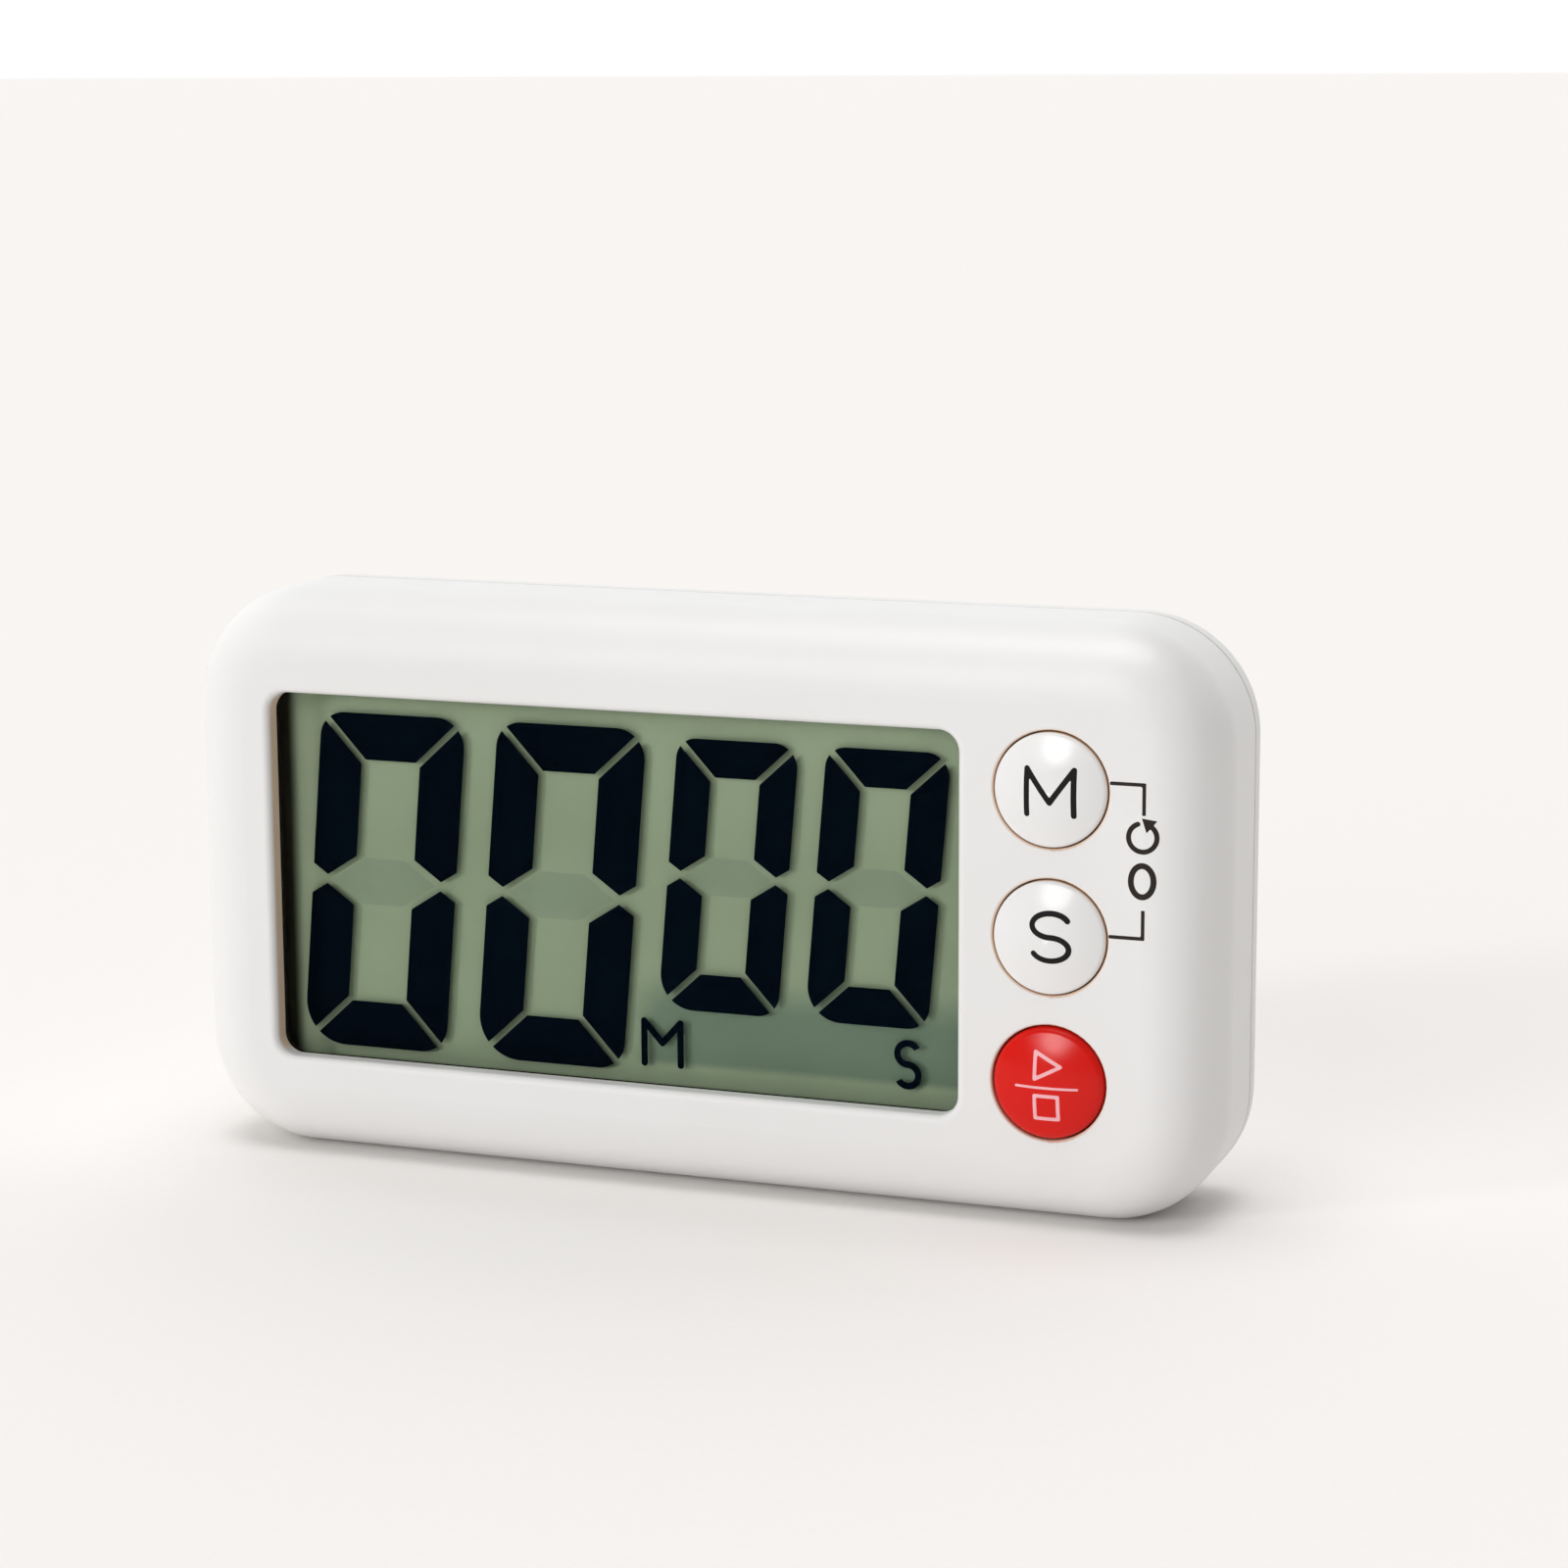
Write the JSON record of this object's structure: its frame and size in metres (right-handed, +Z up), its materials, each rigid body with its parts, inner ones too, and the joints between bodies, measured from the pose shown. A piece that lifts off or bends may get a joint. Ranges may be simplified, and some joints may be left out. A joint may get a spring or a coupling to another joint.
{
  "type": "kitchen timer",
  "caption": "Small white upright kitchen timer with a large liquid crystal display of plain numerals, domed push buttons at the right, and a fold-out rear stand.",
  "frame": {"origin": "under the middle of the timer, on the surface it stands on: midway across its width, and midway through its depth from the domes of the white buttons to the rear face", "axes": "+X to the right of someone who reads the display, +Y from the display to the rear, +Z up"},
  "size_m": [0.1, 0.0204, 0.0536],
  "materials": {
    "case_plastic": "white moulded ABS, fine satin gloss",
    "button_white": "white moulded ABS, polished",
    "button_red": "red moulded ABS, polished",
    "clear_sheet": "clear acrylic sheet",
    "lcd_glass": "thin clear display glass",
    "polariser": "grey-green polarising film",
    "lcd_dark": "liquid crystal bars, switched dark",
    "reflector": "grey-green reflecting film",
    "foam_black": "black closed-cell foam",
    "black_abs": "black moulded ABS",
    "zebra_rubber": "layered conductive rubber",
    "keypad_rubber": "pale silicone rubber",
    "carbon_rubber": "conductive carbon rubber",
    "pcb_laminate": "green lacquered laminate",
    "pad_carbon": "printed carbon",
    "epoxy_black": "black epoxy",
    "chip_body": "fired chip parts",
    "coil_sleeve": "shrink sleeve",
    "steel_bright": "nickel-plated steel",
    "screw_steel": "zinc-plated steel",
    "brass": "bare brass",
    "ceramic_white": "silvered piezo ceramic",
    "magnet_nickel": "nickel-plated neodymium",
    "cell_paste": "packed cell chemistry",
    "cell_label": "printed shrink label",
    "wire_red": "red insulation",
    "wire_black": "black insulation"
  },
  "bodies": {
    "case": {"front_case": "case_plastic", "rear_cover": "case_plastic", "display_window": "clear_sheet", "display_gasket": "foam_black", "lcd_front_polariser": "polariser", "lcd_front_glass": "lcd_glass", "lcd_rear_glass": "lcd_glass", "lcd_segments": "lcd_dark", "lcd_reflector": "reflector", "lcd_holder": "black_abs", "zebra_connector": "zebra_rubber", "keypad": "keypad_rubber", "main_pcb": "pcb_laminate", "button_pads": "pad_carbon", "controller_blob": "epoxy_black", "clock_crystal": "steel_bright", "chip_components": "chip_body", "buzzer_coil": "coil_sleeve", "buzzer_plate": "brass", "buzzer_ceramic": "ceramic_white", "red_wire": "wire_red", "black_wire": "wire_black", "battery": "steel_bright", "battery_core": "cell_paste", "battery_label": "cell_label", "positive_contact": "steel_bright", "negative_contact": "steel_bright", "negative_spring": "steel_bright", "left_magnet": "magnet_nickel", "right_magnet": "magnet_nickel", "case_screws": "screw_steel", "pcb_screws": "screw_steel"},
    "minute_button": {"minute_button": "button_white", "minute_contact": "carbon_rubber"},
    "second_button": {"second_button": "button_white", "second_contact": "carbon_rubber"},
    "start_button": {"start_button": "button_red", "start_contact": "carbon_rubber"},
    "stand": {"stand": "case_plastic"},
    "battery_door": {"battery_door": "case_plastic"}
  },
  "joints": [
    {"name": "minute_press", "type": "slide", "parent": "case", "child": "minute_button", "axis": [0, 1, 0], "range_m": [0, 0.0008], "stiffness_N_per_m": 600, "deforming": ["keypad"]},
    {"name": "second_press", "type": "slide", "parent": "case", "child": "second_button", "axis": [0, 1, 0], "range_m": [0, 0.0008], "stiffness_N_per_m": 600, "deforming": ["keypad"]},
    {"name": "start_press", "type": "slide", "parent": "case", "child": "start_button", "axis": [0, 1, 0], "range_m": [0, 0.0008], "stiffness_N_per_m": 600, "deforming": ["keypad"]},
    {"name": "stand_fold", "type": "hinge", "parent": "case", "child": "stand", "pos_m": [0, 0.0085, 0.024], "axis": [1, 0, 0], "range_deg": [0, 60]},
    {"name": "battery_door_slide", "type": "slide", "parent": "case", "child": "battery_door", "axis": [-1, 0, 0], "range_m": [0, 0.054]}
  ]
}
